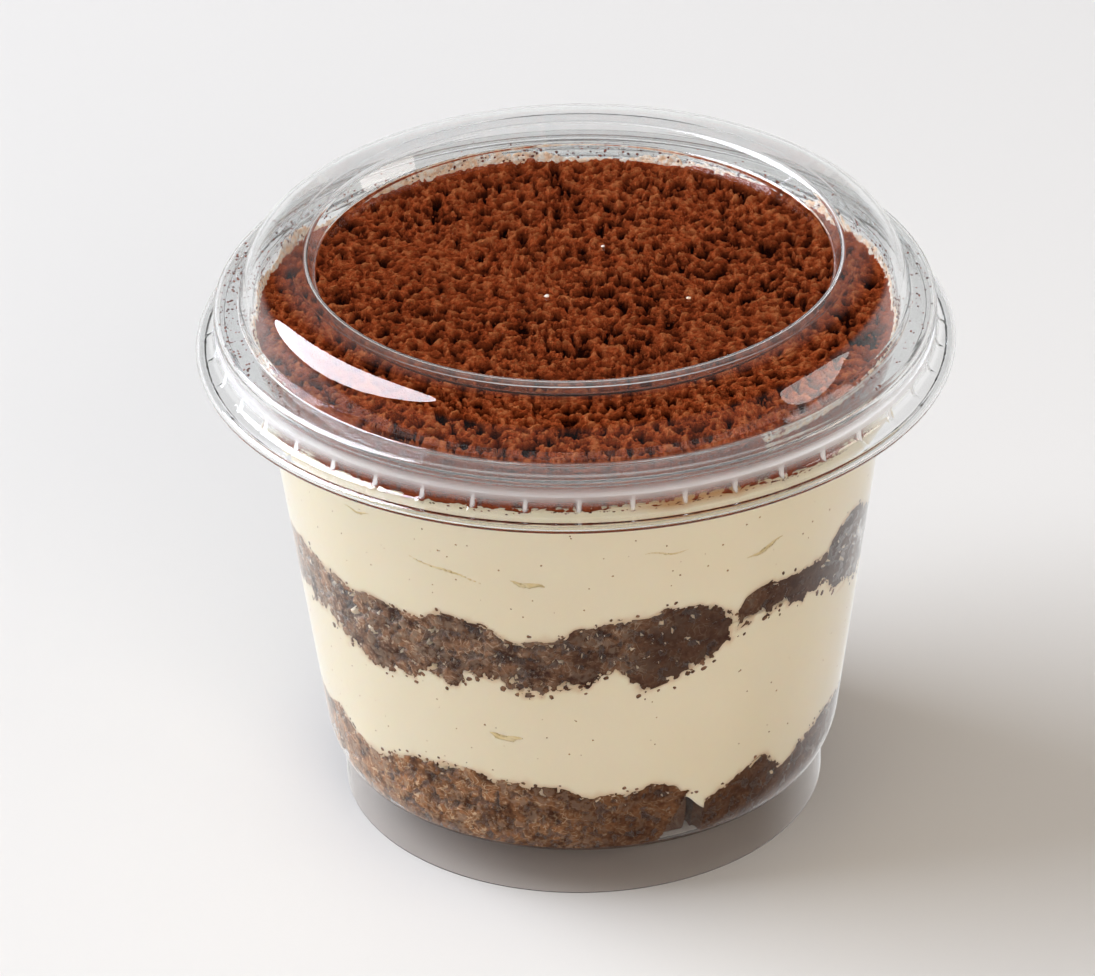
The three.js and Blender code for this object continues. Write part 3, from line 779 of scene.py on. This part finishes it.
def cocoa_powder():
    """Dry cocoa: fully matt, reddish brown, with no shine at all. The powder's own grain of about 0.05 mm
    is drawn at 0.25 mm so that it shows. An attribute paints shade, darkening hollows towards 1, and
    paints light, paling the crests of the lumps towards -1."""
    material, tree, output = new_material("sieved_cocoa_powder")
    place = put(tree, "ShaderNodeTexCoord").outputs["Object"]
    patch = put(tree, "ShaderNodeTexNoise", {"Vector": place, "Scale": 1 / (3.5 * MM), "Detail": 5.0,
                                             "Roughness": 0.6})
    grain = put(tree, "ShaderNodeTexNoise", {"Vector": place, "Scale": 1 / (0.25 * MM), "Detail": 3.0})
    tone = put(tree, "ShaderNodeMix", {"Factor": patch.outputs["Fac"], 6: linear("#ba4e26"),
                                       7: linear("#da7040")}, data_type="RGBA")
    grain_amount = put(tree, "ShaderNodeMapRange", {"Value": grain.outputs["Fac"], "From Min": 0.35,
                                                    "From Max": 0.65, "To Min": 0.0, "To Max": 0.45})
    speck = put(tree, "ShaderNodeMix", {"Factor": grain_amount.outputs[0], 6: tone.outputs[2],
                                        7: linear("#8a3010")}, data_type="RGBA")
    # painted shade and light: darker in the hollows and paler on the crests of the lumps
    pit_painted_shade_and_light = put(tree, "ShaderNodeAttribute", attribute_name="pit_painted_shade_and_light").outputs["Fac"]
    deep = put(tree, "ShaderNodeMix", {"Factor": pit_painted_shade_and_light, 6: speck.outputs[2], 7: linear("#2a0801")},
               data_type="RGBA")
    high = put(tree, "ShaderNodeMapRange", {"Value": pit_painted_shade_and_light, "From Min": 0.0, "From Max": -1.0,
                                            "To Min": 0.0, "To Max": 0.7})
    deep = put(tree, "ShaderNodeMix", {"Factor": high.outputs[0], 6: deep.outputs[2], 7: linear("#e88e58")},
               data_type="RGBA")
    crumbly = put(tree, "ShaderNodeTexNoise", {"Vector": place, "Scale": 1 / (0.5 * MM), "Detail": 3.0,
                                               "Roughness": 0.7})
    bump = put(tree, "ShaderNodeBump", {"Height": crumbly.outputs["Fac"], "Strength": 1.0,
                                        "Distance": 0.5 * MM})
    bump = put(tree, "ShaderNodeBump", {"Height": grain.outputs["Fac"], "Strength": 1.0,
                                        "Distance": 0.2 * MM, "Normal": bump.outputs[0]})
    body = put(tree, "ShaderNodeBsdfPrincipled", {
        "Base Color": deep.outputs[2], "Roughness": 1.0, "Specular IOR Level": 0.0,
        "Normal": bump.outputs[0]})
    tree.links.new(body.outputs[0], output.inputs["Surface"])
    return material


def cocoa_disc(material):
    """One closed disc of powder: the lumpy top on an even disc grid, a side that follows the wall from
    the top's rim down to the ragged lower edge, and a plain face below."""
    x, y = disc_grid(COCOA_CELLS)
    reach = float(wall_radius(COCOA_TOP)) + 0.1
    share = np.hypot(x, y)
    height, painted_shade_and_light = cocoa_height(x * reach, y * reach)
    climb = np.clip((share - 0.955) / 0.045, 0, 1)
    azimuth = np.degrees(np.arctan2(x, -y))
    edge = COCOA_TOP + 0.3 * drift(azimuth / 9 + 60, 0 * azimuth, 1, 330, 40)
    z = cocoa_level(height) * (1 - climb) + (edge + 0.25 * height) * climb
    top = np.stack([x * reach, y * reach, z], -1).reshape(-1, 3)
    n = COCOA_CELLS
    index = np.arange(n * n).reshape(n, n)
    rim = np.concatenate([index[0, :-1], index[:-1, -1], index[-1, :0:-1], index[:0:-1, 0]])
    rim_azimuth = azimuth.ravel()[rim]
    rim_z = z.ravel()[rim]
    s = np.radians(rim_azimuth) * WALL_MID_RADIUS
    low = height_at(rim_azimuth, COCOA_BOTTOM)
    low = low + 0.45 * drift(s, 0 * s, 1.8, 340, WALL_ROUND) + 0.35 * drift(s, 0 * s, 0.6, 341, WALL_ROUND)
    down = np.linspace(0, 1, COCOA_SIDE_ROWS + 1)[1:, None]
    side_z = rim_z + (low - rim_z) * down
    side_s = np.broadcast_to(s, side_z.shape)
    flat = np.clip(clumps(side_s, side_z, 1.3, 350, WALL_ROUND) * 1.6 - 1.0, -0.7, 0.1)
    near = np.clip((side_z - low) / 1.6, 0, 1)
    flat = flat * near + 0.06 * (1 - near)
    flat[-1] = -0.05
    side = round_axis(rim_azimuth, wall_radius(side_z) + flat + 0.02, side_z).reshape(-1, 3)
    quads = np.stack([index[:-1, :-1], index[:-1, 1:], index[1:, 1:], index[1:, :-1]], -1).reshape(-1, 4)
    count, ring = n * n, len(rim)
    below = count + np.arange(ring)
    joint = np.stack([rim, below, np.roll(below, -1), np.roll(rim, -1)], -1)
    side_faces = grid_faces(COCOA_SIDE_ROWS, ring, first=count)[:, ::-1]
    last = count + (COCOA_SIDE_ROWS - 1) * ring + np.arange(ring)
    pole = count + COCOA_SIDE_ROWS * ring
    bottom = np.array([[0, 0, COCOA_BOTTOM[0][1] - 0.5]])
    faces = [quads, joint, side_faces, fan_faces(pole, last, True)]
    made = shown("cocoa_layer", np.vstack([top, side, bottom]), faces, material, smooth=False)
    # the side is drawn darker: a quarter all over, more where it sits back from the wall as painted shade,
    # and towards its lower edge
    patchy = 0.6 + 0.4 * drift(side_s, side_z, 1.0, 352, WALL_ROUND)
    hanging = np.clip(1 - (side_z - low) / 0.9, 0, 1) * patchy
    side_painted_shade = np.clip(0.25 + 0.5 * np.clip(-flat, 0, 1) + 0.7 * hanging, 0, 1)
    marked(made, "pit_painted_shade_and_light", np.concatenate([(painted_shade_and_light * (1 - climb)).ravel(), side_painted_shade.ravel(), [0]]))
    return made


powder = cocoa_powder()
cocoa_layer = cocoa_disc(powder)
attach(cocoa_layer, "root")
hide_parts("cocoa")


# ---------------------------------------------------------------- loose bits
# What filling the cup leaves behind: loose cocoa grains, cocoa dust and cream smeared on the wall and
# the rim above the powder, sponge crumbs in the cream, and coffee specks and yolk streaks at the wall.
GOLDEN = (1 + math.sqrt(5)) / 2
GRAIN_CORNERS = np.array([(-1, GOLDEN, 0), (1, GOLDEN, 0), (-1, -GOLDEN, 0), (1, -GOLDEN, 0),
                          (0, -1, GOLDEN), (0, 1, GOLDEN), (0, -1, -GOLDEN), (0, 1, -GOLDEN),
                          (GOLDEN, 0, -1), (GOLDEN, 0, 1), (-GOLDEN, 0, -1), (-GOLDEN, 0, 1)]) / 1.9021
GRAIN_FACES = np.array([(0, 11, 5), (0, 5, 1), (0, 1, 7), (0, 7, 10), (0, 10, 11), (1, 5, 9), (5, 11, 4),
                        (11, 10, 2), (10, 7, 6), (7, 1, 8), (3, 9, 4), (3, 4, 2), (3, 2, 6), (3, 6, 8),
                        (3, 8, 9), (4, 9, 5), (2, 4, 11), (6, 2, 10), (8, 6, 7), (9, 8, 1)])


def scattered(name, places, facing, sizes, flatness, stretch, seed, material):
    """Many small lumps as one mesh. Each is an icosahedron whose corners move in or out at random; it is
    stretched along one direction of the surface, flattened along the direction it faces, and turned."""
    draw = np.random.default_rng(seed)
    facing = facing / np.linalg.norm(facing, axis=1)[:, None]
    aside = np.cross(facing, np.where(np.abs(facing[:, 2:]) < 0.8, (0, 0, 1), (1, 0, 0)))
    aside = aside / np.linalg.norm(aside, axis=1)[:, None]
    upward = np.cross(facing, aside)
    turn = draw.uniform(0, 2 * math.pi, len(places))[:, None] * (1 if stretch < 2 else 0.06)
    first = aside * np.cos(turn) + upward * np.sin(turn)
    second = upward * np.cos(turn) - aside * np.sin(turn)
    corners = GRAIN_CORNERS[None] * draw.uniform(0.7, 1.25, (len(places), 12, 1)) * sizes[:, None, None]
    grown = (places[:, None] + corners[..., :1] * stretch * first[:, None]
             + corners[..., 1:2] * second[:, None] + corners[..., 2:] * flatness * facing[:, None])
    faces = GRAIN_FACES[None] + 12 * np.arange(len(places))[:, None, None]
    return shown(name, grown.reshape(-1, 3), [faces.reshape(-1, 3)], material)


def round_the_wall(azimuth, z, out):
    """Places just inside or outside the wall's inner face, and the directions that face the axis. Above
    the body the wall flares towards the rim by 0.38 mm a millimetre."""
    flare = 0.38 * np.clip(z - BODY_HIGH_HEIGHT, 0, 3)
    radius = np.where(z > BODY_HIGH_HEIGHT, wall_radius(BODY_HIGH_HEIGHT) + flare, wall_radius(z)) + out
    return round_axis(azimuth, radius, z), round_axis(azimuth, -1.0, 0 * z)


def plain_food(name, dark, pale, patch):
    """A matt food surface that drifts between two colours over a patch size in millimetres."""
    material, tree, output = new_material(name)
    place = put(tree, "ShaderNodeTexCoord").outputs["Object"]
    cloud = put(tree, "ShaderNodeTexNoise", {"Vector": place, "Scale": 1 / (patch * MM), "Detail": 3.0})
    share = put(tree, "ShaderNodeMapRange", {"Value": cloud.outputs["Fac"], "From Min": 0.4,
                                             "From Max": 0.6})
    tone = put(tree, "ShaderNodeMix", {"Factor": share.outputs[0], 6: linear(dark), 7: linear(pale)},
               data_type="RGBA")
    body = put(tree, "ShaderNodeBsdfPrincipled", {"Base Color": tone.outputs[2], "Roughness": 0.8,
                                                  "Specular IOR Level": 0.15})
    tree.links.new(body.outputs[0], output.inputs["Surface"])
    return material


def loose_piece(name, spots, sizes, shape, seed, material):
    """Scatters one kind of loose bit at spots (places, facing) and ties it to the cup's body; shape is
    how flat and how long its lumps are."""
    made = scattered(name, *spots, sizes, *shape, seed, material)
    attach(made, "root")


draw = np.random.default_rng(7)

# grains that lie on the powder
count = 3600
reach = (float(wall_radius(COCOA_TOP)) - 0.4) * np.sqrt(draw.uniform(0, 1, count))
azimuth = draw.uniform(0, 2 * math.pi, count)
x, y = reach * np.sin(azimuth), -reach * np.cos(azimuth)
z = cocoa_level(cocoa_height(x, y)[0]) + 0.05
upright = np.tile([0.0, 0.0, 1.0], (count, 1))
loose_piece("cocoa_loose_grains", (np.stack([x, y, z], -1), upright), draw.uniform(0.1, 0.32, count),
            (0.8, 1.0), 11, powder)

# dust on the wall above the powder, mostly behind, and a trail of it under the powder's edge all round
dust = plain_food("cocoa_dust", "#4e1a0a", "#8a3c1c", 1.0)
above, below = 600, 420
azimuth = np.concatenate([draw.uniform(34, 305, above - 50), draw.uniform(-55, 34, 50)])
z = COCOA_TOP + 1.7 * draw.uniform(0, 1, above) ** 0.9
azimuth = np.concatenate([azimuth, draw.uniform(-180, 180, below)])
trail = 0.35 * np.abs(draw.normal(0, 1, below))
z = np.concatenate([z, height_at(azimuth[above:], COCOA_BOTTOM) - trail])
spots = round_the_wall(azimuth, z, np.where(z > COCOA_TOP, -0.12, CREAM_BITE))
loose_piece("cocoa_dust_on_wall", spots, draw.uniform(0.07, 0.25, above + below), (0.5, 1.0), 12, dust)

# dust on the flat rim under the lid, mostly at the left and the right
azimuth = np.concatenate([draw.normal(-95, 26, 260), draw.normal(95, 30, 110), draw.uniform(-180, 180, 50)])
count = len(azimuth)
places = round_axis(azimuth, draw.uniform(42.9, 46.8, count), np.full(count, RIM_TOP + 0.03))
loose_piece("cocoa_dust_on_rim", (places, upright[:count]), draw.uniform(0.07, 0.22, count), (0.6, 1.0), 13,
            dust)

# cream wiped up the wall above the powder, in a band of uneven height
smear = plain_food("cocoa_stained_cream", "#ffdcbc", "#fff8f0", 0.8)
count = 2400
azimuth = draw.uniform(34, 300, count)
reach = 0.9 + 0.7 * drift(azimuth / 9, 0 * azimuth, 1.0, 410, 40)
z = 69.9 + reach * draw.uniform(0, 1, count) ** 0.8 * 1.3
loose_piece("cream_smear_on_wall", round_the_wall(azimuth, z, 0.0), draw.uniform(0.25, 0.6, count),
            (0.22, 1.2), 14, smear)

# crumbs that broke off the upper sponge's underside
crumbs = plain_food("loose_ladyfinger_crumbs", "#5c3e2b", "#90694f", 1.0)
count = 260
azimuth = draw.uniform(-180, 180, count)
z = height_at(azimuth, UPPER_BOTTOM) - 1.9 * draw.uniform(0, 1, count) ** 1.6 + 0.2
loose_piece("sponge_upper_crumbs", round_the_wall(azimuth, z, CRUMB_BITE), draw.uniform(0.1, 0.42, count),
            (0.25, 1.3), 15, crumbs)

# crumbs that stick in the cream over both sponges
count = 230
azimuth = draw.uniform(-180, 180, count)
z = np.where(draw.uniform(0, 1, count) < 0.5, height_at(azimuth, LOWER_TOP), height_at(azimuth, UPPER_TOP))
z = z + 1.1 * draw.uniform(0, 1, count) ** 2
loose_piece("sponge_lower_crumbs", round_the_wall(azimuth, z, CRUMB_BITE), draw.uniform(0.08, 0.3, count),
            (0.25, 1.3), 16, crumbs)

# coffee specks in both layers of cream
coffee = plain_food("coffee_specks", "#94683f", "#bd9465", 2.0)
count = 340
azimuth = draw.uniform(-180, 180, count)
z = np.where(draw.uniform(0, 1, count) < 0.55, draw.uniform(47, 62, count), draw.uniform(20, 34, count))
loose_piece("coffee_specks_in_cream", round_the_wall(azimuth, z, CREAM_BITE),
            draw.uniform(0.06, 0.17, count), (0.4, 1.0), 17, coffee)

# yolk streaks: azimuth and height at both ends, and half their width, each a chain of thin long lumps
yolk = plain_food("yolk_cream", "#e3ca96", "#ead5a8", 1.5)
streaks = [(-33, -19, 53.7, 52.0, 0.3), (-12.5, -7, 52.7, 52.3, 0.5), (33, 40.5, 52.2, 53.6, 0.34),
           (-19, -13, 26.9, 26.6, 0.55), (-48, -42, 57.5, 57.9, 0.22), (12, 20, 56.8, 56.3, 0.2)]
share = np.linspace(0, 1, 15)
azimuth = np.concatenate([start + (end - start) * share for start, end, *_ in streaks])
z = np.concatenate([low + (high - low) * share + 0.2 * np.sin(7 * share + low)
                    for _, _, low, high, _ in streaks])
sizes = np.concatenate([width * (0.35 + 0.65 * np.sin(math.pi * share)) for *_, width in streaks])
loose_piece("yolk_streaks_in_cream", round_the_wall(azimuth, z, CREAM_BITE), sizes, (0.06, 2.2), 18, yolk)


# ---------------------------------------------------------------- the lid
# A clear thermoformed PET lid pushed over the rim: a sunken panel inside a raised ring, a groove and
# bead that grip the rim, and a flared brim with small stiffening ribs.
LID_SHEET = 0.45
LID_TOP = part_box("lid")[1].z / MM
BRIM_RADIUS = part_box("lid")[1].x / MM
BRIM_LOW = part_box("lid")[0].z / MM
BEAD_RADIUS = 0.8
BEAD_START, BEAD_SWEEP = 112, 250
PANEL_LEVEL = 77.1
# milky lines along the lid's corners, partly haze where forming stretched the sheet and partly white
# lines painted as highlights: radius, height, how far the milky line reaches, and how milky
MILKY_HIGHLIGHT_LINES = [(35.15, 80.0, 0.15, 0.25), (39.6, 79.9, 0.2, 0.05), (43.9, 72.9, 0.15, 0.15),
             (46.8, 73.07, 0.15, 0.3), (47.45, 72.68, 0.13, 0.32), (47.2, 70.17, 0.18, 0.45)]
RIB_COUNT = 44
RIB_WIDTH = 0.35
RIB_HEIGHT = 0.14
LID_COLUMNS = 16 * RIB_COUNT


def lid_outline():
    """The sheet's middle line from the axis to the brim and round its rolled bead, offset by half the
    sheet to both sides and joined round the end."""
    middle = LID_TOP - LID_SHEET / 2
    roll = BEAD_RADIUS - LID_SHEET / 2
    bead_radius, bead_height = BRIM_RADIUS - BEAD_RADIUS, BRIM_LOW + BEAD_RADIUS
    turn = np.radians(np.linspace(BEAD_START, BEAD_START - BEAD_SWEEP, 14))
    bead = np.stack([bead_radius + roll * np.cos(turn), bead_height + roll * np.sin(turn)], -1)
    corners = [(0, PANEL_LEVEL, 0), (34.25, PANEL_LEVEL, 0.7), (35.15, middle - 0.15, 0.7),
               (37.2, middle, 1.5), (42.3, middle - 0.5, 4.8), (43.75, 74.5, 2.0), (43.95, 72.85, 0.5),
               (47.35, 72.85, 0.7), (47.05, 70.1, 0.5), (47.5, 67.9, 1.6), (*bead[0], 0)]
    line = np.vstack([rounded_line(corners, step=4.0, arc_parts=4), bead[1:]])
    along = np.gradient(line, axis=0)
    along /= np.hypot(along[:, 0], along[:, 1])[:, None]
    normal = np.stack([-along[:, 1], along[:, 0]], -1)
    upper, lower = line + normal * LID_SHEET / 2, line - normal * LID_SHEET / 2
    upper[0, 0] = lower[0, 0] = 0
    turn = np.radians(np.linspace(0, 180, 6)[1:-1])[:, None]
    cap = line[-1] + (normal[-1] * np.cos(turn) + along[-1] * np.sin(turn)) * LID_SHEET / 2
    return np.vstack([upper, cap, lower[::-1]])[::-1]


def from_rib(azimuth):
    """How far round the brim an azimuth lies from the middle of its nearest rib."""
    pitch = 360 / RIB_COUNT
    return ((azimuth + 0.5 * pitch) % pitch - 0.5 * pitch) * math.pi / 180 * BRIM_RADIUS


def lid_ribs(azimuth, ring):
    """Ribs on the brim: narrow bumps, 1 - x^2 across their width, repeated evenly round the lid and
    fading at both ends of their run down the flare."""
    across = np.clip(1 - (from_rib(azimuth) / RIB_WIDTH) ** 2, 0, 1)
    run = np.clip((ring[:, :1] - 47.2) / 0.3, 0, 1) * np.clip((49.0 - ring[:, :1]) / 0.8, 0, 1)
    outer = np.gradient(ring[:, 0])[:, None]
    return RIB_HEIGHT * across * run * np.where(outer > 0, -1, 1) * np.clip((70 - ring[:, 1:]) / 0.3, 0, 1)


def lid_frost_and_painted_highlights(azimuth, ring):
    """Where the lid's sheet is milky: each listed corner line, partly haze and partly a painted highlight,
    fades out at its reach, the snap rim and the raised ring's inner half are slightly hazy, and each rib
    has a short milky mark painted as a glint."""
    milky = np.where((ring[:, 1] < 73.2) & (ring[:, 1] > 69.6) & (ring[:, 0] > 43.8), 0.028, 0.0)
    milky = np.maximum(milky, np.where((ring[:, 0] > 35.3) & (ring[:, 0] < 39.6), 0.022, 0.0))
    # painted highlights: each listed line is drawn as a milky white line, partly haze where the sheet was
    # stretched
    for radius, height, fade, amount in MILKY_HIGHLIGHT_LINES:
        away = np.hypot(ring[:, 0] - radius, ring[:, 1] - height)
        milky = np.maximum(milky, amount * np.clip(1.5 - away / fade, 0, 1))
    # painted glint: a short milky mark down the middle of each rib
    painted_rib_glint = np.clip(2 - 2 * np.abs(from_rib(azimuth)) / RIB_WIDTH, 0, 1)
    run = np.clip((ring[:, 1:] - 68.0) / 0.3, 0, 1) * np.clip((70.0 - ring[:, 1:]) / 0.2, 0, 1)
    return np.maximum(milky[:, None], 0.4 * painted_rib_glint * run)


lid_plastic = clear_sheet("clear_thermoformed_pet", 1.45, 0.5, 0.02, 11, 0.03)
lid_shell = lathe("lid_shell", lid_outline(), LID_COLUMNS, lid_plastic, lid_frost_and_painted_highlights, lid_ribs)
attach(lid_shell, "root")
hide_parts("lid")


# ---------------------------------------------------------------- the drops on the lid
# Three tiny drops of cream that fell on the sunken panel when the cup was closed. They dried where
# they lie, and nothing else holds them.
DROP_LEVEL = PANEL_LEVEL + LID_SHEET / 2 + 0.05
places = np.array([(-3.6, -8.4, DROP_LEVEL), (3.8, 4.8, DROP_LEVEL), (14.7, -9.6, DROP_LEVEL)])
loose_piece("cream_drops_on_lid", (places, upright[:3]), np.array([0.38, 0.28, 0.34]), (0.5, 1.0), 19,
            smear)
